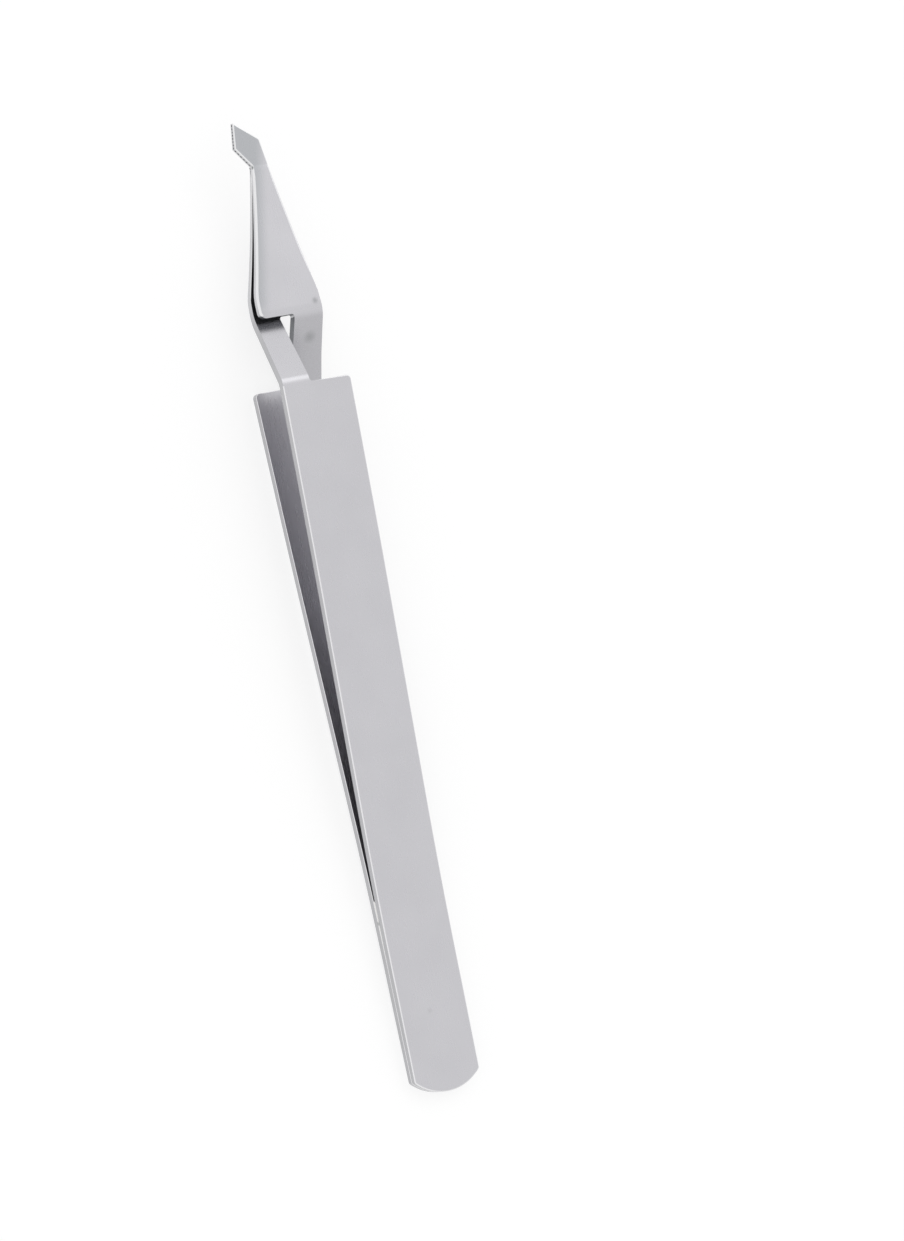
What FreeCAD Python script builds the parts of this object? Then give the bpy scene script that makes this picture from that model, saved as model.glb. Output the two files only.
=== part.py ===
import FreeCAD, Part
import math
import os
import Sketcher

# Reverse-action bonding tweezers, in millimetres. Two strips of spring steel lie face to face and are
# brazed together at the tail. They spread apart towards a square shoulder, where each one narrows to a
# neck beside the other's neck and crosses the middle plane. So the lower handle carries the upper jaw,
# and a squeeze of the handles opens the jaws.

SIZES = [
    ("overall_length", 140.0, "tail to the sharp end of the hook"),
    ("head_length", 38.0, "square shoulder to the sharp end of the hook"),
    ("handle_width", 10.8, "at the shoulder"),
    ("tail_width", 10.5, "at the tail"),
    ("tail_end_radius", 7.4, "round end seen from above"),
    ("shoulder_corner", 1.1, "rounded outer corner of the shoulder"),
    ("sheet_thickness", 1.2, "strip before it is ground"),
    ("tail_thickness", 1.0, "strip at the tail, ground thinner"),
    ("shoulder_gap", 7.8, "between the handles at the shoulder"),
    ("first_bend", 28.0, "tail to the middle of the outward bow"),
    ("first_bend_reach", 13.0, "length of the bow to each side"),
    ("grip_run", 22.0, "shoulder back to the middle of the easing bow"),
    ("grip_bend_reach", 8.0, "length of the easing bow to each side"),
    ("wedge_front", 28.5, "tail to the front of the braze"),
    ("wedge_hollow", 0.75, "depth of the braze's hollow front, as a share of its half thickness"),
    ("neck_angle", 30.0, "slope of the necks, in degrees"),
    ("shoulder_bend", 1.0, "inside radius where the neck leaves the handle"),
    ("blade_bend", 3.0, "inside radius where the neck meets the blade"),
    ("upper_neck_inner", 0.8, "middle line to the inner edge of the upper arm's neck"),
    ("lower_neck_inner", 0.4, "middle line to the inner edge of the lower arm's neck"),
    ("neck_root_corner", 0.5, "rounded inner corners at the ends of the necks"),
    ("blade_width", 9.9, "blade at its heel"),
    ("blade_gap", 0.9, "between the blades at their heels"),
    ("blade_thickness", 1.1, "blade at its heel"),
    ("heel_setback", 0.2, "blade bend to the straight heel edge"),
    ("heel_corner", 1.0, "rounded corner of the heel"),
    ("flank_run", 2.6, "heel to where the hooked flank turns inwards"),
    ("flank_turn_reach", 1.25, "length of that turn to each side of its corner"),
    ("contact_length", 14.0, "length over which the closed blades touch"),
    ("contact_thickness", 1.0, "blade where the contact starts"),
    ("hook_length", 6.8, "tip back to the hook's inner corner"),
    ("hook_thickness", 0.6, "blade at the hook's inner corner"),
    ("tip_thickness", 0.45, "blade at the tip"),
    ("waist_hook_side", 1.2, "middle line to the blade's edge behind the hook"),
    ("waist_plain_side", 1.25, "middle line to the other edge there"),
    ("waist_lead", 3.4, "straight stretch of the narrow end behind the hook"),
    ("waist_turn_reach", 3.0, "turn from the flank into that stretch, to each side of its corner"),
    ("hook_heel_back", 4.0, "tip back to the hook's heel"),
    ("hook_heel_side", 3.75, "middle line to the hook's heel"),
    ("tip_side", 3.2, "middle line to the tip"),
    ("nose_back", 2.9, "tip back to the blunt corner of the nose"),
    ("nose_side", 0.65, "middle line to the blunt corner of the nose"),
    ("hook_corner", 0.3, "rounded inner corner of the hook"),
    ("tooth_pitch", 0.45, "serrations of the jaw faces"),
    ("tooth_depth", 0.16, "serrations of the jaw faces"),
    ("edge_round", 0.3, "polished edge round the outer faces"),
    ("blank_margin", 2.0, "waste trimmed from the blank all round"),
]

# Places worked out from the sizes. Heights are counted outwards from the plane between the arms.
LAYOUT = [
    ("handle_length", "Sizes.overall_length - Sizes.head_length"),
    ("bow_start", "Sizes.first_bend - Sizes.first_bend_reach"),
    ("shoulder_out", "Sizes.shoulder_gap / 2 + Sizes.sheet_thickness"),
    ("tail_taper", "atan((Sizes.sheet_thickness - Sizes.tail_thickness) / Layout.bow_start)"),
    ("tail_lean", "atan((Layout.shoulder_out - Sizes.tail_thickness) / Layout.handle_length)"
                  " - Layout.tail_taper"),
    ("tail_rest", "Sizes.tail_thickness - Sizes.edge_round * tan(Layout.tail_lean)"),
    ("rest_angle", "atan((Layout.shoulder_out - Layout.tail_rest) / Layout.handle_length)"),
    ("grip_bend_x", "Layout.handle_length - Sizes.grip_run"),
    ("grip_bend_out", "Sizes.shoulder_gap / 2 - Sizes.grip_run * tan(Layout.rest_angle)"),
    ("spread_angle", "atan(Layout.grip_bend_out / (Layout.grip_bend_x - Sizes.first_bend))"),
    ("bow_radius", "Sizes.first_bend_reach / tan(Layout.spread_angle / 2)"),
    ("bow_end_x", "Sizes.first_bend + Sizes.first_bend_reach * cos(Layout.spread_angle)"),
    ("bow_end_out", "Sizes.first_bend_reach * sin(Layout.spread_angle)"),
    ("ease_radius", "Sizes.grip_bend_reach / tan((Layout.spread_angle - Layout.rest_angle) / 2)"),
    ("ease_start_x", "Layout.grip_bend_x - Sizes.grip_bend_reach * cos(Layout.spread_angle)"),
    ("ease_start_out", "Layout.grip_bend_out - Sizes.grip_bend_reach * sin(Layout.spread_angle)"),
    ("ease_end_x", "Layout.grip_bend_x + Sizes.grip_bend_reach * cos(Layout.rest_angle)"),
    ("ease_end_out", "Layout.grip_bend_out + Sizes.grip_bend_reach * sin(Layout.rest_angle)"),
    ("neck_slope", "Sizes.neck_angle * 1 deg"),
    ("half_turn", "(Layout.rest_angle + Layout.neck_slope) / 2"),
    ("half_lean", "(Layout.neck_slope - Layout.rest_angle) / 2"),
    ("bend_reach", "(Sizes.shoulder_bend + Sizes.sheet_thickness) * tan(Layout.half_turn)"),
    ("neck_top_x", "Layout.handle_length + Layout.bend_reach * cos(Layout.rest_angle)"),
    ("neck_top_out", "Layout.shoulder_out + Layout.bend_reach * sin(Layout.rest_angle)"),
    ("mitre", "Sizes.sheet_thickness / cos(Layout.half_turn)"),
    ("neck_low_x", "Layout.neck_top_x - Layout.mitre * sin(Layout.half_lean)"),
    ("neck_low_out", "Layout.neck_top_out - Layout.mitre * cos(Layout.half_lean)"),
    ("jaw_in", "Sizes.blade_gap / 2"),
    ("jaw_back_in", "Sizes.blade_gap / 2 + Sizes.blade_thickness"),
    ("jaw_x", "Layout.neck_top_x + (Layout.neck_top_out + Layout.jaw_in) / tan(Layout.neck_slope)"),
    ("jaw_back_x", "Layout.neck_low_x + (Layout.neck_low_out + Layout.jaw_back_in)"
                   " / tan(Layout.neck_slope)"),
    ("heel_x", "Layout.jaw_x + Sizes.heel_setback"),
    ("contact_x", "Sizes.overall_length - Sizes.contact_length"),
    ("hook_x", "Sizes.overall_length - Sizes.hook_length"),
    ("waist_x", "Layout.hook_x - Sizes.waist_lead"),
    ("flank_slope", "atan((Sizes.blade_width / 2 - Sizes.waist_hook_side)"
                    " / (Layout.waist_x - Layout.heel_x - Sizes.flank_run))"),
    ("flank_turn", "Sizes.flank_turn_reach / tan(Layout.flank_slope / 2)"),
    ("waist_turn", "Sizes.waist_turn_reach / tan(Layout.flank_slope / 2)"),
    ("nose_x", "Sizes.overall_length - Sizes.nose_back"),
    ("hook_heel_x", "Sizes.overall_length - Sizes.hook_heel_back"),
    ("tail_corner_x", "Sizes.tail_end_radius"
                      " - sqrt(Sizes.tail_end_radius ^ 2 - (Sizes.tail_width / 2) ^ 2)"),
    ("wedge_middle", "(Layout.bow_start + Sizes.wedge_front) / 2"),
    ("wedge_middle_out", "Layout.bow_radius"
                         " - sqrt(Layout.bow_radius ^ 2 - (Layout.wedge_middle - Layout.bow_start) ^ 2)"),
    ("wedge_out", "Layout.bow_radius"
                  " - sqrt(Layout.bow_radius ^ 2 - (Sizes.wedge_front - Layout.bow_start) ^ 2)"),
    ("tooth_count", "floor(Sizes.hook_length / Sizes.tooth_pitch)"),
    ("blank_width", "Sizes.handle_width + 2 * Sizes.blank_margin"),
    ("blank_length", "Sizes.overall_length + Sizes.blank_margin"),
]

UPPER, LOWER = 1, -1


def fill_sheet(name, rows):
    """Write rows of name, text and note into a spreadsheet, each value under its alias."""
    sheet = doc.addObject("Spreadsheet::Sheet", name)
    for line, (alias, text, note) in enumerate(rows, start=1):
        sheet.set(f"A{line}", alias)
        sheet.set(f"B{line}", text)
        sheet.set(f"C{line}", note)
        sheet.setAlias(f"B{line}", alias)
    doc.recompute()
    return sheet


def value(expression):
    """Number that an expression over the two sheets gives now, angles in degrees."""
    result = sizes.evalExpression(expression)
    return result.Value if hasattr(result, "Value") else result


def origin_feature(body, role):
    """One of the body's own origin planes or axes."""
    return next(item for item in body.Origin.OriginFeatures if item.Role == role)


def new_sketch(body, role, name):
    """Empty sketch on one of the body's origin planes."""
    sketch = body.newObject("Sketcher::SketchObject", name)
    sketch.AttachmentSupport = [(origin_feature(body, role), "")]
    sketch.MapMode = "FlatFace"
    return sketch


def hold(sketch, kind, place, expression):
    """Dimension a sketch point or curve and bind the dimension to an expression."""
    index = sketch.addConstraint(Sketcher.Constraint(kind, *place, value(expression)))
    label = f"{kind}{index}"
    sketch.renameConstraint(index, label)
    sketch.setExpression(f"Constraints.{label}", expression)


def curve_between(start, end, radius, turn):
    """Line, or an arc that turns left (turn 1) or right (turn -1) from start to end."""
    if not turn:
        return Part.LineSegment(start, end), 1
    chord = end - start
    rise = math.sqrt(radius ** 2 - (chord.Length / 2) ** 2)
    left = FreeCAD.Vector(-chord.y, chord.x, 0).normalize()
    centre = (start + end) * 0.5 + left * (rise * turn)
    first, last = (start, end) if turn > 0 else (end, start)
    angles = [math.atan2(point.y - centre.y, point.x - centre.x) for point in (first, last)]
    if angles[1] < angles[0]:
        angles[1] += 2 * math.pi
    circle = Part.Circle(centre, FreeCAD.Vector(0, 0, 1), radius)
    return Part.ArcOfCircle(circle, *angles), (1 if turn > 0 else 2)


def outline(sketch, corners):
    """Closed outline. A corner is its x and y, and radius and turn where an arc leaves it."""
    points = [FreeCAD.Vector(value(corner[0]), value(corner[1]), 0) for corner in corners]
    curves = []
    for index, corner in enumerate(corners):
        end = points[(index + 1) % len(points)]
        radius, turn = corner[2:] if len(corner) > 2 else ("0", 0)
        curve, start_end = curve_between(points[index], end, value(radius), turn)
        curves.append((sketch.addGeometry(curve, False), start_end, radius, turn))
    for index, (curve, start_end, radius, turn) in enumerate(curves):
        following = curves[(index + 1) % len(curves)]
        sketch.addConstraint(Sketcher.Constraint("Coincident", curve, 3 - start_end,
                                                 following[0], following[1]))
        if turn:
            hold(sketch, "Radius", (curve,), radius)
    for (curve, start_end, _, _), corner in zip(curves, corners):
        hold(sketch, "DistanceX", (-1, 1, curve, start_end), corner[0])
        hold(sketch, "DistanceY", (-1, 1, curve, start_end), corner[1])


def pad_both_ways(body, sketch, name, length):
    """Solid from a sketch, grown evenly to both sides of its plane."""
    pad = body.newObject("PartDesign::Pad", name)
    pad.Profile = sketch
    pad.SideType = "Symmetric"
    pad.setExpression("Length", length)
    sketch.Visibility = False
    doc.recompute()
    return pad


def cut_both_ways(body, sketch, name):
    """Cut a sketch right through the body, and make sure that it took metal away."""
    before = body.Shape.Volume
    pocket = body.newObject("PartDesign::Pocket", name)
    pocket.Profile = sketch
    pocket.SideType = "Symmetric"
    pocket.Type = "ThroughAll"
    sketch.Visibility = False
    doc.recompute()
    if body.Shape.Volume >= before:
        raise RuntimeError(f"{name} cut nothing")
    return pocket


def round_edges(body, name, radius, chosen):
    """Fillet the body's edges that the chosen test picks, with one bound radius."""
    base = body.Tip
    picked = [f"Edge{index}" for index, edge in enumerate(base.Shape.Edges, start=1) if chosen(edge)]
    if not picked:
        raise RuntimeError(f"{name} found no edge")
    fillet = body.newObject("PartDesign::Fillet", name)
    fillet.Base = (base, picked)
    fillet.setExpression("Radius", radius)
    doc.recompute()
    if "Invalid" in fillet.State:
        raise RuntimeError(f"{name} failed")
    return fillet


def across_at(x, z):
    """Test for an edge across the strip at this place of the side view."""
    def test(edge):
        return all(math.hypot(vertex.X - x, vertex.Z - z) < 0.01 for vertex in edge.Vertexes)
    return test


def upright_at(places):
    """Test for an edge through the sheet at one of these places of the view from above."""
    def test(edge):
        return any(all(math.hypot(vertex.X - x, vertex.Y - y) < 0.01 for vertex in edge.Vertexes)
                   for x, y in places)
    return test


def is_wall(face):
    """True for a face cut square through the sheet, seen edge on from above."""
    low, high, start, end = face.ParameterRange
    return abs(face.normalAt((low + high) / 2, (start + end) / 2).z) < 0.01


def on_outer_rim(shape, side, limit, beyond):
    """Test for an edge where the outer face meets the cut side, all beyond x = limit or all before."""
    def test(edge):
        if (edge.BoundBox.XMin > limit - 0.01) != beyond:
            return False
        faces = shape.ancestorsOfType(edge, Part.Face)
        skins = [face for face in faces if not is_wall(face)]
        if len(faces) != 2 or len(skins) != 1:
            return False
        low, high, start, end = skins[0].ParameterRange
        return skins[0].normalAt((low + high) / 2, (start + end) / 2).z * side > 0
    return test


def side_profile(side):
    """Corners of the bent strip seen from the side, from the tail along the inner face and back."""
    def at(x, out, *arc):
        return (x, out if side == UPPER else f"-({out})", *arc)

    thick = " + Sizes.sheet_thickness"
    return [
        at("0", "0"),
        at("Layout.bow_start", "0", "Layout.bow_radius", side),
        at("Layout.bow_end_x", "Layout.bow_end_out"),
        at("Layout.ease_start_x", "Layout.ease_start_out", "Layout.ease_radius", -side),
        at("Layout.ease_end_x", "Layout.ease_end_out"),
        at("Layout.neck_low_x", "Layout.neck_low_out"),
        at("Layout.jaw_back_x", "-Layout.jaw_back_in"),
        at("Layout.contact_x", "-Sizes.contact_thickness"),
        at("Layout.hook_x", "-Sizes.hook_thickness"),
        at("Sizes.overall_length", "-Sizes.tip_thickness"),
        at("Sizes.overall_length", "0"),
        at("Layout.contact_x", "0"),
        at("Layout.jaw_x", "-Layout.jaw_in"),
        at("Layout.neck_top_x", "Layout.neck_top_out"),
        at("Layout.ease_end_x", "Layout.ease_end_out" + thick, "Layout.ease_radius", side),
        at("Layout.ease_start_x", "Layout.ease_start_out" + thick),
        at("Layout.bow_end_x", "Layout.bow_end_out" + thick, "Layout.bow_radius", -side),
        at("Layout.bow_start", "Sizes.sheet_thickness"),
        at("0", "Sizes.tail_thickness"),
    ]


def plan_outline(side, neck_inner):
    """Corners of the trimmed strip seen from above. The hook always points to +Y."""
    half, blade, tail = "Sizes.handle_width / 2", "Sizes.blade_width / 2", "Sizes.tail_width / 2"
    hook_flank = [
        ("Layout.heel_x", blade),
        ("Layout.heel_x + Sizes.flank_run", blade),
        ("Layout.waist_x", "Sizes.waist_hook_side"),
        ("Layout.hook_x", "Sizes.waist_hook_side"),
        ("Layout.hook_heel_x", "Sizes.hook_heel_side"),
        ("Sizes.overall_length", "Sizes.tip_side"),
        ("Layout.nose_x", "-Sizes.nose_side"),
        ("Layout.hook_x", "-Sizes.waist_plain_side"),
        ("Layout.heel_x", f"-{blade}"),
    ]
    tail_start = [("Layout.tail_corner_x", f"-{tail}")]
    tail_end = ("Layout.tail_corner_x", tail, "Sizes.tail_end_radius", 1)
    neck_out, shoulder_out = f"{side} * {neck_inner}", f"-{side} * {half}"
    waist = [("Layout.heel_x", neck_out), ("Layout.handle_length", neck_out),
             ("Layout.handle_length", shoulder_out)]
    if side == UPPER:
        rim = [("Layout.handle_length", half)] + hook_flank + waist
    else:
        rim = waist[::-1] + hook_flank + [("Layout.handle_length", f"-{half}")]
    return [tail_end] + tail_start + rim[::-1]


def arm(name, label, side, neck_inner):
    """One strip: bent blank, trimmed outline, rounded bends and corners, serrated jaw."""
    body = doc.addObject("PartDesign::Body", name)
    body.Label = label
    profile = new_sketch(body, "XZ_Plane", f"{name}Side")
    outline(profile, side_profile(side))
    pad_both_ways(body, profile, f"{name}Blank", "Layout.blank_width")

    bends = [
        ("ShoulderOutside", "neck_top_x", "neck_top_out", "Sizes.shoulder_bend + Sizes.sheet_thickness"),
        ("ShoulderInside", "neck_low_x", "neck_low_out", "Sizes.shoulder_bend"),
        ("BladeInside", "jaw_x", "jaw_in", "Sizes.blade_bend"),
        ("BladeOutside", "jaw_back_x", "jaw_back_in", "Sizes.blade_bend + Sizes.blade_thickness"),
    ]
    for bend, x, out, radius in bends:
        way = -side if bend.startswith("Blade") else side
        round_edges(body, name + bend, radius,
                    across_at(value(f"Layout.{x}"), way * value(f"Layout.{out}")))

    trim = new_sketch(body, "XY_Plane", f"{name}Plan")
    behind, ahead, far = "-Sizes.blank_margin", "Layout.blank_length", "Layout.blank_width"
    outline(trim, [(behind, f"-{far}"), (ahead, f"-{far}"), (ahead, far), (behind, far)])
    outline(trim, plan_outline(side, neck_inner))
    cut_both_ways(body, trim, f"{name}Trim")

    heel = (value("Layout.heel_x"), -side * value("Sizes.blade_width / 2"))
    shoulder = (value("Layout.handle_length"), -side * value("Sizes.handle_width / 2"))
    neck = side * value(neck_inner)
    roots = [(value("Layout.heel_x"), neck), (value("Layout.handle_length"), neck)]
    hook = [(value("Layout.hook_x"), value("Sizes.waist_hook_side"))]
    flank = [(value("Layout.heel_x + Sizes.flank_run"), value("Sizes.blade_width / 2")),
             (value("Layout.heel_x"), side * value("Sizes.blade_width / 2")),
             (value("Layout.handle_length"), side * value("Sizes.handle_width / 2"))]
    waist = [(value("Layout.waist_x"), value("Sizes.waist_hook_side")),
             (value("Layout.hook_x"), -value("Sizes.waist_plain_side"))]
    corners = [
        ("Shoulder", "Sizes.shoulder_corner", [shoulder]),
        ("Heel", "Sizes.heel_corner", [heel]),
        ("Roots", "Sizes.neck_root_corner", roots),
        ("Hook", "Sizes.hook_corner", hook),
        ("Flank", "Layout.flank_turn", flank),
        ("Waist", "Layout.waist_turn", waist),
    ]
    for corner, radius, places in corners:
        round_edges(body, f"{name}{corner}Corner", radius, upright_at(places))
    for end, beyond in (("Front", True), ("Tail", False)):
        rim = on_outer_rim(body.Tip.Shape, side, value("Layout.tail_corner_x"), beyond)
        round_edges(body, f"{name}{end}Rim", "Sizes.edge_round", rim)
    serrate(body, name, side)
    return body


def serrate(body, name, side):
    """Cut one V groove across the jaw face behind the hook's corner and repeat it to the tip."""
    first, half = "Layout.hook_x + Sizes.tooth_pitch / 2", "Sizes.tooth_pitch / 2"
    groove = new_sketch(body, "XZ_Plane", f"{name}Tooth")
    outline(groove, [(f"{first} - {half}", "0"), (f"{first} + {half}", "0"),
                     (first, f"-{side} * Sizes.tooth_depth")])
    tooth = cut_both_ways(body, groove, f"{name}Groove")
    before = body.Shape.Volume
    row = body.newObject("PartDesign::LinearPattern", f"{name}Teeth")
    row.Originals = [tooth]
    row.Direction = (origin_feature(body, "X_Axis"), [""])
    row.setExpression("Length", "(Layout.tooth_count - 1) * Sizes.tooth_pitch")
    row.setExpression("Occurrences", "Layout.tooth_count")
    body.Tip = row
    doc.recompute()
    if body.Shape.Volume >= before:
        raise RuntimeError(f"{name} has only one tooth")


def tail_wedge():
    """Braze metal that fills the sharp valley between the arms and is ground flush at the sides.

    Its thin end is so flat that each long face is made of two arcs, which keep to the bow closely.
    """
    body = doc.addObject("PartDesign::Body", "TailWedge")
    body.Label = "tail_wedge"
    profile = new_sketch(body, "XZ_Plane", "TailWedgeSide")
    front, out, bow = "Sizes.wedge_front", "Layout.wedge_out", "Layout.bow_radius"
    middle, middle_out = "Layout.wedge_middle", "Layout.wedge_middle_out"
    hollow = f"{out} * (1 + Sizes.wedge_hollow ^ 2) / (2 * Sizes.wedge_hollow)"
    outline(profile, [("Layout.bow_start", "0", bow, -1), (middle, f"-{middle_out}", bow, -1),
                      (front, f"-{out}", hollow, -1), (front, out, bow, -1),
                      (middle, middle_out, bow, -1)])
    fill = pad_both_ways(body, profile, "TailWedgeFill", "Sizes.tail_width")
    fill.Refine = False
    return body


def lay_down(body):
    """Tilt the body so that the lower handle rests on its shoulder end and on the tail."""
    body.Placement.Rotation = FreeCAD.Rotation(FreeCAD.Vector(0, -1, 0), value("Layout.rest_angle"))
    body.setExpression("Placement.Base.x", "-Sizes.overall_length / 2 * cos(Layout.rest_angle)")
    body.setExpression("Placement.Base.z", "Layout.tail_rest * cos(Layout.rest_angle)")


doc = FreeCAD.newDocument("BondingTweezers")
sizes = fill_sheet("Sizes", [(alias, str(number), note) for alias, number, note in SIZES])
fill_sheet("Layout", [(alias, "=" + formula, "") for alias, formula in LAYOUT])

bodies = [
    arm("LowerArm", "lower_arm", LOWER, "Sizes.lower_neck_inner"),
    arm("UpperArm", "upper_arm", UPPER, "Sizes.upper_neck_inner"),
    tail_wedge(),
]
for body in bodies:
    lay_down(body)
doc.recompute()

for item in doc.Objects:
    if {"Invalid", "Error"} & set(item.State):
        raise RuntimeError(f"{item.Name} failed: {item.State}")
os.makedirs("parts", exist_ok=True)
for body in bodies:
    if body.Shape.isNull() or not body.Shape.isValid() or len(body.Shape.Solids) != 1:
        raise RuntimeError(f"{body.Label} is not one valid solid")
    body.Shape.exportStep(f"parts/{body.Label}.step")
    box = body.Shape.BoundBox
    print(f"{body.Label}: {body.Shape.Volume:.1f} mm3, x {box.XMin:.2f} to {box.XMax:.2f}, "
          f"y {box.YMin:.2f} to {box.YMax:.2f}, z {box.ZMin:.3f} to {box.ZMax:.3f}")
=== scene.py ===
import math

import bmesh
import bpy
from mathutils import Matrix, Vector


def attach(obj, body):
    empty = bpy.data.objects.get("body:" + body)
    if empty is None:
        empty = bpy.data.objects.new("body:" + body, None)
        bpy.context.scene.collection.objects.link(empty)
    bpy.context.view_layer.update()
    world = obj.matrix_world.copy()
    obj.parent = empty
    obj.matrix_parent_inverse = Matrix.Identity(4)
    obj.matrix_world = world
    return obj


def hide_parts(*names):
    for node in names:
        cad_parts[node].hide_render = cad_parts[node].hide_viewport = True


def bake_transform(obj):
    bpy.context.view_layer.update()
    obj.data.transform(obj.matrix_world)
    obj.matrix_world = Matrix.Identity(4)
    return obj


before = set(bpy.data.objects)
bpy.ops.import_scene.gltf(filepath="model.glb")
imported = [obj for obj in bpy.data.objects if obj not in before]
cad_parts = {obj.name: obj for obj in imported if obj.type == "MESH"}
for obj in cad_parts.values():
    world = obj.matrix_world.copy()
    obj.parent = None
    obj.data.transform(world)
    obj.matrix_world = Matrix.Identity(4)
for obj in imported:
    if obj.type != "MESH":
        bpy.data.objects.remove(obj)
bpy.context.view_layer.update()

# Lower strip: stainless steel 1.2 mm thick, stamped, bent at the shoulder and at the blade, ground thinner
# at the tail and the jaw, then polished. Its neck rises on the right, so it carries the upper jaw. It is
# brazed to the upper strip at the tail. Both are drawn in millimetres before they are laid down.
LOWER, UPPER = -1, 1
REST_TILT = math.radians(2.302)
TAIL_PLACE = (-0.0699435, 0, 0.0009992)
HANDLE_END, HEEL, FLANK, TIP = 102.0, 111.993, 115.093, 140.0
CONTACT, HOOK = 132.8, 133.6
LOWER_NECK_INNER, LOWER_JAW_IN = 0.4, 0.75
LOWER_NECK_SLOPE = math.tan(math.radians(31.07))
JAW_THICKNESS = 1.1
SHOULDER_OUTSIDE, SHOULDER_INSIDE = (102.636, 5.126), (102.337, 3.913)
LONG_BOW, EASING_BOW = 448.6, 901.4
SORTING_PLACE = (-731.0, -417.0, 293.0)
POLISHED_RIM = 0.4
TOOTH_PITCH, TOOTH_DEPTH, TOOTH_COUNT = 0.45, 0.16, 14


def rounded(corners):
    """Outline with its corners rounded. A corner is two places and, if rounded, a radius and a step count."""
    outline = []
    for index, (x, y, *bend) in enumerate(corners):
        corner = Vector((x, y))
        if not bend:
            outline.append(corner)
            continue
        radius, steps = bend
        before = (Vector(corners[index - 1][:2]) - corner).normalized()
        after = (Vector(corners[(index + 1) % len(corners)][:2]) - corner).normalized()
        half = before.angle(after) / 2
        centre = corner + (before + after).normalized() * radius / math.sin(half)
        first = corner + before * radius / math.tan(half) - centre
        turn = first.angle_signed(corner + after * radius / math.tan(half) - centre)
        for step in range(steps + 1):
            angle = -turn * step / steps
            spoke = Matrix.Rotation(angle, 2) @ first
            outline.append(centre + spoke)
    return outline


def bar(name, outline, upright, reach):
    """Solid bar over an outline, drawn in the side view or in the view from above, to both sides of it."""
    def place(point, depth):
        return Vector((point[0], depth, point[1]) if upright else (point[0], point[1], depth))

    bpy.ops.object.select_all(action="DESELECT")
    bpy.ops.mesh.primitive_plane_add(size=1.0)
    piece = bpy.context.object
    piece.name = name
    bpy.ops.object.mode_set(mode="EDIT")
    bpy.ops.mesh.select_mode(type="VERT")
    bpy.ops.mesh.select_all(action="SELECT")
    bpy.ops.mesh.merge(type="CENTER")
    places = [place(point, -reach) for point in outline]
    bpy.ops.transform.translate(value=places[0])
    for start, end in zip(places, places[1:]):
        bpy.ops.mesh.extrude_vertices_move(TRANSFORM_OT_translate={"value": end - start})
    bpy.ops.mesh.select_all(action="SELECT")
    bpy.ops.mesh.edge_face_add()
    bpy.ops.mesh.extrude_region_move(TRANSFORM_OT_translate={"value": place((0, 0), 2 * reach)})
    bpy.ops.mesh.select_all(action="SELECT")
    bpy.ops.mesh.normals_make_consistent(inside=False)
    bpy.ops.object.mode_set(mode="OBJECT")
    return piece


def finish_with(piece, kind, **settings):
    """Give the piece one modifier and apply it."""
    bpy.ops.object.select_all(action="DESELECT")
    piece.select_set(True)
    bpy.context.view_layer.objects.active = piece
    bpy.ops.object.modifier_add(type=kind)
    modifier = piece.modifiers[-1]
    for setting, value in settings.items():
        setattr(modifier, setting, value)
    bpy.ops.object.modifier_apply(modifier=modifier.name)


def shape_with(piece, tool, operation):
    """Cut the piece with a tool, or keep only what lies inside it, and throw the tool away.

    The cut leaves its corners in an order that changes from run to run, so they are sorted by their
    distance from a far place. New pieces start at the cursor, so it goes back afterwards.
    """
    finish_with(piece, "BOOLEAN", object=tool, operation=operation, solver="EXACT")
    bpy.data.objects.remove(tool)
    bpy.context.scene.cursor.location = SORTING_PLACE
    bpy.ops.object.mode_set(mode="EDIT")
    bpy.ops.mesh.select_all(action="SELECT")
    bpy.ops.mesh.sort_elements(type="CURSOR_DISTANCE", elements={"VERT", "EDGE", "FACE"})
    bpy.ops.object.mode_set(mode="OBJECT")
    bpy.context.scene.cursor.location = (0.0, 0.0, 0.0)


def strip_side_view(side, jaw_in, neck_slope):
    """Bent strip from the side: the inner face from the tail to the jaw, and back along the outer face."""
    jaw_out = jaw_in + JAW_THICKNESS
    jaw_start = SHOULDER_OUTSIDE[0] + (SHOULDER_OUTSIDE[1] + jaw_in) / neck_slope
    jaw_back_start = SHOULDER_INSIDE[0] + (SHOULDER_INSIDE[1] + jaw_out) / neck_slope
    corners = [
        (-1.0, 0.0), (28.0, 0.0, LONG_BOW, 12), (80.0, 3.0156, EASING_BOW, 6), (*SHOULDER_INSIDE, 1.0, 8),
        (jaw_back_start, -jaw_out, 4.1, 10), (CONTACT, -0.67), (HOOK, -0.6), (141.0, -0.4266), (141.0, 0.0),
        (CONTACT, 0.0), (jaw_start, -jaw_in, 3.0, 10), (*SHOULDER_OUTSIDE, 2.2, 12),
        (80.0, 4.2156, EASING_BOW, 6), (28.0, 1.2, LONG_BOW, 12), (15.0, 1.2), (-1.0, 0.9867),
    ]
    return rounded([(x, side * out, *bend) for x, out, *bend in corners])


def hollow_edge(start, end, depth):
    """Places along a slightly hollow edge between two corners, which has the blade on its right."""
    first, last = Vector(start), Vector(end)
    inward = Vector((last.y - first.y, first.x - last.x)).normalized()
    return [tuple(first.lerp(last, step / 12) + inward * depth * 4 * step / 12 * (1 - step / 12))
            for step in range(1, 12)]


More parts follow.
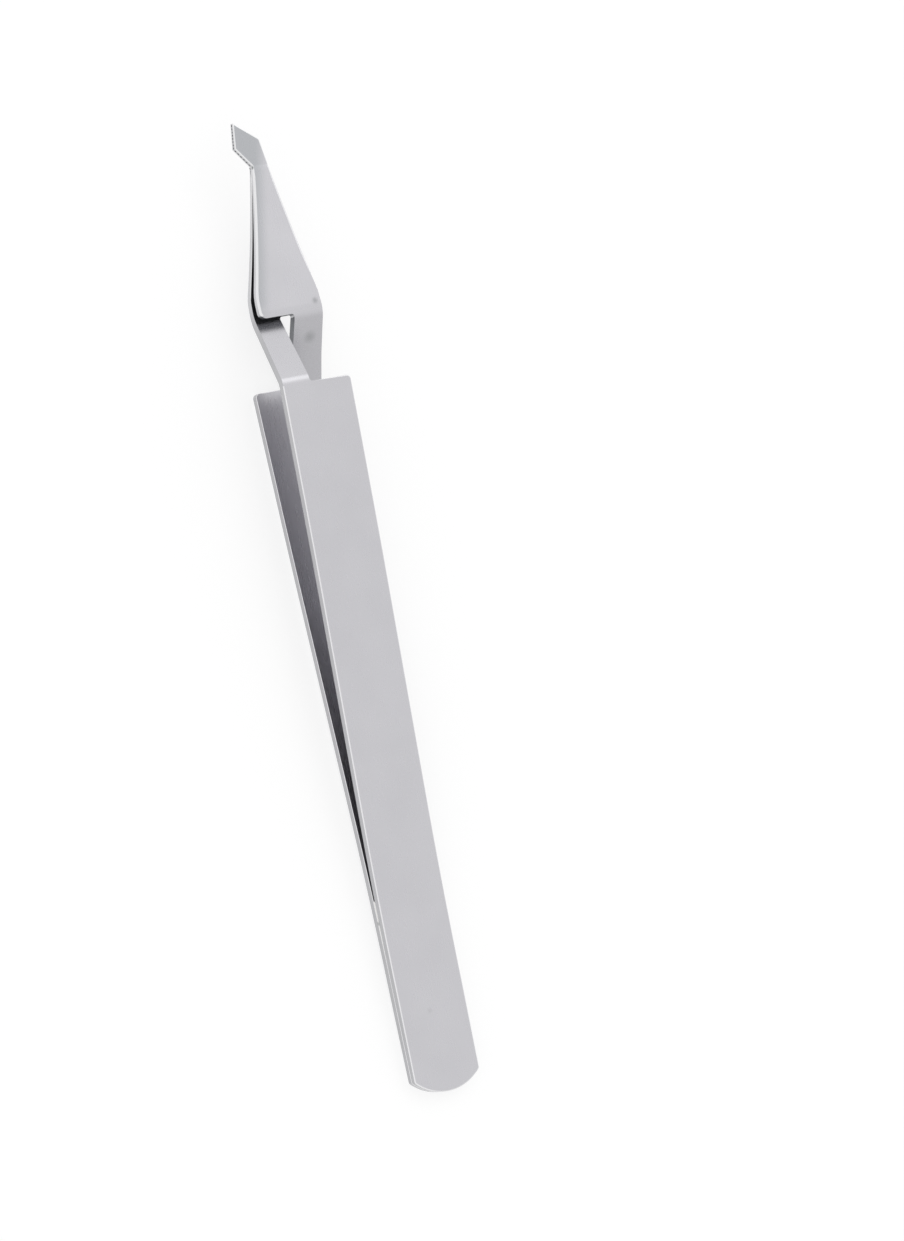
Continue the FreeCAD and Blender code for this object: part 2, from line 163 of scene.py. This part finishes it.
def strip_from_above(side, neck_inner):
    """Trimmed strip from above. The hook points to +Y on both strips."""
    neck, far = side * neck_inner, -side * 5.4
    heel = -side * 4.95
    tail = [(7.4 - 7.4 * math.cos(math.radians(turn)), 7.4 * math.sin(math.radians(turn)))
            for turn in range(-42, 43, 3)]
    hook_corner, nose, plain_corner = (HOOK, 0.77), (137.25, -1.12), (FLANK, -4.78)
    hook_side = [(FLANK, 4.95, 9.2, 5)] + hollow_edge((FLANK, 4.95), hook_corner, 0.225) + [
        (*hook_corner, 0.3, 4), (136.35, 2.9), (TIP, 2.42), (*nose, 0.4, 4),
        *hollow_edge(nose, plain_corner, 0.126), (*plain_corner, 9.2, 4)]
    root = [(HEEL, heel, 1.0, 8), (HEEL, neck, 0.5, 6), (HANDLE_END, neck, 0.5, 6), (HANDLE_END, far, 0.7, 8)]
    if side == UPPER:
        rim = [(HANDLE_END, 5.4, 10.0, 3), (HEEL, 4.95, 10.0, 3)] + hook_side + root
    else:
        rim = root[::-1] + hook_side + [(HEEL, -4.95, 10.0, 3), (106.0, -5.1, 12.0, 3),
                                        (HANDLE_END, -5.4, 10.0, 3)]
    return rounded([(2.185, 5.25, 0.5, 4)] + rim + [(2.185, -5.25, 0.5, 4)] + tail)


def polish_rims(piece, side):
    """Round the rims by the share of the polishing radius that each stretch got.

    The heel, the neck's outer edges and the toothed rim stay sharp, and beside the neck the blade's rim
    grows in five steps.
    """
    bpy.ops.object.select_all(action="DESELECT")
    piece.select_set(True)
    bpy.context.view_layer.objects.active = piece
    bpy.ops.object.mode_set(mode="EDIT")
    bpy.ops.mesh.select_mode(type="EDGE")
    both_flanks = [(side, -5.0, 103.5, 0.35), (-side, -5.0, 103.5, 0.2), (side, 103.5, HOOK - 0.2, 0.2),
                   (-side, CONTACT, 145.0, 0.35)]
    stretches = [(flank, *rim) for flank in (side, -side) for rim in both_flanks]
    stretches.append((-side, -side, 103.5, CONTACT, 0.7))
    stretches += [(side, -side, start, CONTACT, 0.14) for start in (FLANK, 116.4, 118.0, 119.6, 121.2)]
    for flank, way, start, end, share in stretches:
        mesh = bmesh.from_edit_mesh(piece.data)
        for edge in mesh.edges:
            ups = sorted((face.normal.z * way for face in edge.link_faces), key=abs)
            middle = (edge.verts[0].co + edge.verts[1].co) / 2
            heel_edge = abs(middle.x - HEEL) < 0.4 and abs(middle.y) < 4.8
            on_neck = flank == side and HANDLE_END < middle.x < FLANK
            edge.select_set(len(ups) == 2 and abs(ups[0]) < 0.1 and ups[1] > 0.5 and middle.y * flank > 0
                            and start <= middle.x < end and not heel_edge and not on_neck)
        bmesh.update_edit_mesh(piece.data)
        bpy.ops.transform.edge_bevelweight(value=share)
    bpy.ops.object.mode_set(mode="OBJECT")
    # The rims' bevel takes material 2, whose pale tone is a painted highlight.
    finish_with(piece, "BEVEL", limit_method="WEIGHT", width=POLISHED_RIM, segments=4, material=2,
                use_clamp_overlap=False)


def paint_shade_between_strips(piece, side):
    """Give painted shade to the faces between the strips: inside the jaws, on the heel wall and on the neck
    walls.
    """
    for face in piece.data.polygons:
        ahead = face.center.x > HEEL - 0.6
        inside_jaw = face.normal.z * side > 0.5 and ahead
        heel_wall = face.normal.x < -0.6 and ahead and face.center.x < FLANK
        neck_wall = face.normal.y * side < -0.7 and HANDLE_END + 0.6 < face.center.x < HEEL - 0.6
        # These faces take material 3, a dark steel whose tone is painted shade.
        if (inside_jaw or heel_wall or neck_wall) and face.material_index != 2:
            face.material_index = 3


def serrate(piece, side):
    """File the row of small V grooves across the jaw face, from the hook's corner to the tip."""
    teeth = []
    for tooth in range(TOOTH_COUNT):
        start = HOOK + tooth * TOOTH_PITCH
        teeth += [(start, 0.0), (start + TOOTH_PITCH / 2, -TOOTH_DEPTH)]
    teeth += [(HOOK + TOOTH_COUNT * TOOTH_PITCH, 0.0), (141.0, 0.5), (HOOK, 0.5)]
    file_row = bar("File row", [(x, side * out) for x, out in teeth], True, 8.0)
    shape_with(piece, file_row, "DIFFERENCE")


def crease_along(piece, start, end, step):
    """Divide a stretch of the strip crosswise, so that it can bend evenly."""
    bpy.ops.object.mode_set(mode="EDIT")
    for number in range(int((end - start) / step) + 1):
        bpy.ops.mesh.select_all(action="SELECT")
        bpy.ops.mesh.bisect(plane_co=(start + number * step, 0, 0), plane_no=(1, 0, 0))
    bpy.ops.object.mode_set(mode="OBJECT")


def lay_down(piece):
    """Smooth the piece, bring it to its real size and lay it on the table as the tweezers rest."""
    bpy.ops.object.select_all(action="DESELECT")
    piece.select_set(True)
    bpy.context.view_layer.objects.active = piece
    piece.rotation_euler = (0, -REST_TILT, 0)
    piece.location = TAIL_PLACE
    piece.scale = (0.001, 0.001, 0.001)
    bpy.ops.object.transform_apply(location=True, rotation=True, scale=True)
    bpy.ops.object.shade_smooth_by_angle(angle=math.radians(32))
    finish_with(piece, "WEIGHTED_NORMAL", keep_sharp=True, weight=100)


# Stains, and at the last place the painted shade of a pit in the braze seam, each a place, a size and a
# depth.
STAINS_AND_PIT_SHADE = (
    ((-0.0583, 0.0007, 0.0026), 0.0006, 0.10), ((0.0432, -0.0040, 0.0074), 0.0007, 0.40),
    ((0.0385, -0.0030, 0.0050), 0.0014, 0.30), ((0.0633, 0.0009, 0.0068), 0.0004, 1.0),
    ((-0.04476, 0.0053, 0.0020), 0.0005, 0.55))
STAIN_AND_PIT_TONE = (0.10, 0.12, 0.11)
JAW_END_START, JAW_END_FULL = 2.6 - 15.15, 0.2 - 15.15


def grain_group():
    """Marks of the belt and the cloth, lengthwise lines and soft clouds, a mask for the jaw end, and stains
    with the painted shade of a pit.
    """
    group = bpy.data.node_groups.new("Belt and cloth marks", "ShaderNodeTree")
    for socket in ("Lines", "Clouds", "Jaw end", "Stains and pit shade"):
        group.interface.new_socket(socket, in_out="OUTPUT", socket_type="NodeSocketFloat")
    nodes, links = group.nodes, group.links
    place = nodes.new("ShaderNodeTexCoord")
    out = nodes.new("NodeGroupOutput")

    stretch = nodes.new("ShaderNodeMapping")
    stretch.inputs["Scale"].default_value = (120, 6000, 6000)
    lines = nodes.new("ShaderNodeTexNoise")
    lines.inputs["Scale"].default_value = 1.0
    lines.inputs["Detail"].default_value = 2.0
    links.new(place.outputs["Object"], stretch.inputs["Vector"])
    links.new(stretch.outputs["Vector"], lines.inputs["Vector"])
    links.new(lines.outputs["Fac"], out.inputs["Lines"])

    clouds = nodes.new("ShaderNodeTexNoise")
    clouds.inputs["Scale"].default_value = 160.0
    clouds.inputs["Detail"].default_value = 3.0
    links.new(place.outputs["Object"], clouds.inputs["Vector"])
    links.new(clouds.outputs["Fac"], out.inputs["Clouds"])

    # Each spot darkens towards its centre: stains, and the painted shade of the pit in the braze.
    stains_and_pit_shade = None
    for spot, size, depth in STAINS_AND_PIT_SHADE:
        away = nodes.new("ShaderNodeVectorMath")
        away.operation = "DISTANCE"
        away.inputs[1].default_value = spot
        dark_spot = nodes.new("ShaderNodeMapRange")
        dark_spot.interpolation_type = "SMOOTHSTEP"
        dark_spot.inputs["From Min"].default_value = size
        dark_spot.inputs["From Max"].default_value = 0.0
        dark_spot.inputs["To Max"].default_value = depth
        links.new(place.outputs["Object"], away.inputs[0])
        links.new(away.outputs["Value"], dark_spot.inputs["Value"])
        if stains_and_pit_shade is None:
            stains_and_pit_shade = dark_spot.outputs["Result"]
            continue
        darker = nodes.new("ShaderNodeMath")
        darker.operation = "MAXIMUM"
        links.new(stains_and_pit_shade, darker.inputs[0])
        links.new(dark_spot.outputs["Result"], darker.inputs[1])
        stains_and_pit_shade = darker.outputs["Value"]
    links.new(stains_and_pit_shade, out.inputs["Stains and pit shade"])

    # Jaw end: a mask over the jaw ahead of the heel. It lifts the cut sides out of their painted shade and
    # makes the satin faces darker.
    from_flank = nodes.new("ShaderNodeVectorMath")
    from_flank.operation = "DOT_PRODUCT"
    from_flank.inputs[1].default_value = (-226, -1000, 0)
    jaw_end = nodes.new("ShaderNodeMapRange")
    jaw_end.interpolation_type = "SMOOTHSTEP"
    jaw_end.inputs["From Min"].default_value = JAW_END_START
    jaw_end.inputs["From Max"].default_value = JAW_END_FULL
    ahead = nodes.new("ShaderNodeVectorMath")
    ahead.operation = "DOT_PRODUCT"
    ahead.inputs[1].default_value = (1, 0, 0)
    on_jaw = nodes.new("ShaderNodeMapRange")
    on_jaw.inputs["From Min"].default_value = 0.0415
    on_jaw.inputs["From Max"].default_value = 0.0440
    where = nodes.new("ShaderNodeMath")
    where.operation = "MULTIPLY"
    links.new(place.outputs["Object"], from_flank.inputs[0])
    links.new(from_flank.outputs["Value"], jaw_end.inputs["Value"])
    links.new(place.outputs["Object"], ahead.inputs[0])
    links.new(ahead.outputs["Value"], on_jaw.inputs["Value"])
    links.new(jaw_end.outputs["Result"], where.inputs[0])
    links.new(on_jaw.outputs["Result"], where.inputs[1])
    links.new(where.outputs["Value"], out.inputs["Jaw end"])
    return group


def tone_between(nodes, links, share, first, second):
    """Colour between two others, each a fixed tone or the colour of another node, by a share."""
    mix = nodes.new("ShaderNodeMix")
    mix.data_type = "RGBA"
    links.new(share, mix.inputs["Factor"])
    for socket, tone in (("A", first), ("B", second)):
        if isinstance(tone, tuple):
            mix.inputs[socket].default_value = (*tone, 1)
        else:
            links.new(tone, mix.inputs[socket])
    return mix.outputs["Result"]


def steel(name, light, dark, jaw_end, rough, rough_spread, lift, marks):
    """Steel whose tone runs from dark to light with the clouds and turns to a third tone at the jaw end."""
    material = bpy.data.materials.new(name)
    material.use_nodes = True
    nodes, links = material.node_tree.nodes, material.node_tree.links
    shader = nodes["Principled BSDF"]
    shader.inputs["Metallic"].default_value = 1.0
    marked = nodes.new("ShaderNodeGroup")
    marked.node_tree = marks

    tone = tone_between(nodes, links, marked.outputs["Clouds"], dark, light)
    tone = tone_between(nodes, links, marked.outputs["Jaw end"], tone, jaw_end)
    tone = tone_between(nodes, links, marked.outputs["Stains and pit shade"], tone, STAIN_AND_PIT_TONE)
    links.new(tone, shader.inputs["Base Color"])

    sheen = nodes.new("ShaderNodeMapRange")
    sheen.inputs["To Min"].default_value = rough - rough_spread
    sheen.inputs["To Max"].default_value = rough + rough_spread
    links.new(marked.outputs["Lines"], sheen.inputs["Value"])
    links.new(sheen.outputs["Result"], shader.inputs["Roughness"])

    relief = nodes.new("ShaderNodeBump")
    relief.inputs["Strength"].default_value = lift
    relief.inputs["Distance"].default_value = 0.00001
    links.new(marked.outputs["Lines"], relief.inputs["Height"])
    links.new(relief.outputs["Normal"], shader.inputs["Normal"])
    return material


marks = grain_group()
satin = steel("Satin stainless steel", (0.595, 0.59, 0.615), (0.545, 0.54, 0.566), (0.44, 0.45, 0.468),
              0.28, 0.025, 0.04, marks)
# The cut sides: their darker tone along the handles is painted shade; at the jaw end they turn lighter.
cut_edge_painted_shade = steel("Cut edge with painted shade", (0.52, 0.52, 0.535), (0.44, 0.44, 0.455), (0.60, 0.60, 0.615),
                 0.20, 0.04, 0.1, marks)
# Polished rims: their tone, much paler than the satin faces, is a painted highlight.
polished_rim_painted_highlight = steel("Polished rim with painted highlight", (0.83, 0.825, 0.84), (0.77, 0.765, 0.78), (0.80, 0.80, 0.81),
                   0.13, 0.03, 0.05, marks)
# Rougher steel for the faces between the strips; its dark tone is painted shade.
painted_shade_steel = steel("Steel with painted shade between the strips", (0.22, 0.225, 0.24), (0.13, 0.135, 0.145), (0.17, 0.175, 0.185),
             0.38, 0.05, 0.3, marks)


def strip(name, side, neck_inner, jaw_in, neck_slope):
    """One strip of the pair: bent, trimmed, polished at the rims and serrated, in its four finishes, three
    with painted light: shade on the cut sides and between the strips, a highlight on the rims.
    """
    piece = bar(name, strip_side_view(side, jaw_in, neck_slope), True, 8.0)
    die = bar("Trimming die", strip_from_above(side, neck_inner), False, 12.0)
    for finish in (satin, cut_edge_painted_shade, polished_rim_painted_highlight, painted_shade_steel):
        piece.data.materials.append(finish)
        die.data.materials.append(finish)
    # The die gives the cut sides material 1, whose darker tone along the handles is painted shade.
    for face in die.data.polygons:
        face.material_index = 1
    shape_with(piece, die, "INTERSECT")
    serrate(piece, side)
    polish_rims(piece, side)
    paint_shade_between_strips(piece, side)
    return piece


lower_strip = strip("Lower_strip", LOWER, LOWER_NECK_INNER, LOWER_JAW_IN, LOWER_NECK_SLOPE)
lay_down(lower_strip)
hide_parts("lower_arm")
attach(lower_strip, "lower_half")

# Upper strip: the matching strip with its bends the other way round. Its neck crosses down on the left to
# the lower jaw. Both strips spring in use; this one is divided crosswise in front of the braze, where it
# flexes.
UPPER_NECK_INNER, UPPER_JAW_IN = 1.1, 0.45
UPPER_NECK_SLOPE = math.tan(math.radians(30))

upper_strip = strip("Upper_strip", UPPER, UPPER_NECK_INNER, UPPER_JAW_IN, UPPER_NECK_SLOPE)
crease_along(upper_strip, 27.0, 63.0, 2.0)
lay_down(upper_strip)
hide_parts("upper_arm")
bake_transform(upper_strip)

# Braze: silver solder that ran into the sharp valley between the strips in front of the tail. It was ground
# flush with the sides, and its front froze hollow.
BRAZE_START, BRAZE_FRONT, BRAZE_HALF_WIDTH = 15.0, 28.5, 5.25

valley = [(BRAZE_START + reach, reach ** 2 / (2 * LONG_BOW)) for reach in range(0, 13)]
valley.append((BRAZE_FRONT, 0.2032))
front = [(28.36, 0.11), (28.25, 0.0), (28.36, -0.11)]
braze = bar("Braze", valley + front + [(x, -out) for x, out in valley[:0:-1]], True, BRAZE_HALF_WIDTH)
braze_metal = steel("Silver braze", (0.89, 0.88, 0.86), (0.75, 0.74, 0.72), (0.80, 0.79, 0.77),
                    0.30, 0.06, 0.3, marks)
braze.data.materials.append(braze_metal)
lay_down(braze)
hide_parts("tail_wedge")
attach(braze, "lower_half")

# Table, studio light and camera: a plain white table under a bright, even studio that is a little dimmer
# behind the tail, with one softbox ahead of the jaws. They aren't part of the object.
def background_rays(nodes, links, path):
    """One for the rays that show the background: from the camera, off metal and through glass."""
    seen = path.outputs["Is Camera Ray"]
    for ray in ("Is Glossy Ray", "Is Transmission Ray"):
        either = nodes.new("ShaderNodeMath")
        either.operation = "MAXIMUM"
        links.new(seen, either.inputs[0])
        links.new(path.outputs[ray], either.inputs[1])
        seen = either.outputs["Value"]
    return seen


bpy.ops.object.select_all(action="DESELECT")
bpy.ops.mesh.primitive_plane_add(size=6.0, location=(0, 0, 0))
table = bpy.context.object
table.name = "Table"
paper = bpy.data.materials.new("White table")
paper.use_nodes = True
nodes, links = paper.node_tree.nodes, paper.node_tree.links
nodes.clear()
diffuse = nodes.new("ShaderNodeBsdfDiffuse")
diffuse.inputs["Color"].default_value = (0.35, 0.35, 0.35, 1)
glow = nodes.new("ShaderNodeEmission")
path = nodes.new("ShaderNodeLightPath")
level = nodes.new("ShaderNodeMath")
level.operation = "MULTIPLY"
level.inputs[1].default_value = 0.72
both = nodes.new("ShaderNodeAddShader")
out = nodes.new("ShaderNodeOutputMaterial")
links.new(background_rays(nodes, links, path), level.inputs[0])
links.new(level.outputs["Value"], glow.inputs["Strength"])
links.new(diffuse.outputs["BSDF"], both.inputs[0])
links.new(glow.outputs["Emission"], both.inputs[1])
links.new(both.outputs["Shader"], out.inputs["Surface"])
table.data.materials.append(paper)

DIM_SIDE = (-0.78, -0.47, 0.41)
world = bpy.data.worlds.new("Studio")
bpy.context.scene.world = world
world.use_nodes = True
nodes, links = world.node_tree.nodes, world.node_tree.links
background = nodes["Background"]
path = nodes.new("ShaderNodeLightPath")
level = nodes.new("ShaderNodeMapRange")
level.inputs["To Min"].default_value = 0.8
level.inputs["To Max"].default_value = 1.0
links.new(background_rays(nodes, links, path), level.inputs["Value"])
direction = nodes.new("ShaderNodeTexCoord")
behind_tail = nodes.new("ShaderNodeVectorMath")
behind_tail.operation = "DOT_PRODUCT"
behind_tail.inputs[1].default_value = DIM_SIDE
dim = nodes.new("ShaderNodeMapRange")
dim.interpolation_type = "SMOOTHSTEP"
dim.inputs["From Min"].default_value = 0.88
dim.inputs["From Max"].default_value = 0.985
dim.inputs["To Min"].default_value = 1.0
dim.inputs["To Max"].default_value = 0.80
kept_white = nodes.new("ShaderNodeMath")
kept_white.operation = "MAXIMUM"
dimmed = nodes.new("ShaderNodeMath")
dimmed.operation = "MULTIPLY"
links.new(direction.outputs["Generated"], behind_tail.inputs[0])
links.new(behind_tail.outputs["Value"], dim.inputs["Value"])
links.new(dim.outputs["Result"], kept_white.inputs[0])
links.new(path.outputs["Is Camera Ray"], kept_white.inputs[1])
links.new(level.outputs["Result"], dimmed.inputs[0])
links.new(kept_white.outputs["Value"], dimmed.inputs[1])
links.new(dimmed.outputs["Value"], background.inputs["Strength"])
background.inputs["Color"].default_value = (1, 1, 1, 1)

along = Vector((math.cos(REST_TILT), 0, math.sin(REST_TILT)))
upward = Vector((-math.sin(REST_TILT), 0, math.cos(REST_TILT)))
across = Vector((0, 1, 0))


def softbox(name, direction, distance, width, height, radiance):
    """Flat lamp that faces the object from a direction, at a plain brightness."""
    bpy.ops.object.light_add(type="AREA", location=direction.normalized() * distance)
    lamp = bpy.context.object
    lamp.name = name
    lamp.data.shape = "RECTANGLE"
    lamp.data.size, lamp.data.size_y = width, height
    lamp.data.energy = radiance * math.pi * width * height
    lamp.rotation_euler = direction.to_track_quat("Z", "Y").to_euler()
    return lamp


front_box = softbox("Front softbox", 0.70 * upward + 0.55 * along - 0.47 * across, 1.2, 0.9, 0.50, 0.55)

tilt, roll = math.radians(28), math.radians(11.7)
toward_camera = upward * math.cos(tilt) + across * math.sin(tilt)
sideways = -across * math.cos(tilt) + upward * math.sin(tilt)
picture_up = along * math.cos(roll) + sideways * math.sin(roll)
picture_right = sideways * math.cos(roll) - along * math.sin(roll)
aim = Vector(TAIL_PLACE) + along * 0.0650 + sideways * 0.01415
DISTANCE, FRAME_HEIGHT, SENSOR_WIDTH = 0.9, 0.1755, 36
bpy.ops.object.camera_add()
camera = bpy.context.object
camera.data.sensor_width = SENSOR_WIDTH
camera.data.lens = SENSOR_WIDTH * DISTANCE / FRAME_HEIGHT
turn = Matrix((picture_right, picture_up, toward_camera)).transposed()
camera.matrix_world = Matrix.Translation(aim + toward_camera * DISTANCE) @ turn.to_4x4()
bpy.context.scene.camera = camera
bpy.context.scene.view_settings.view_transform = "Standard"
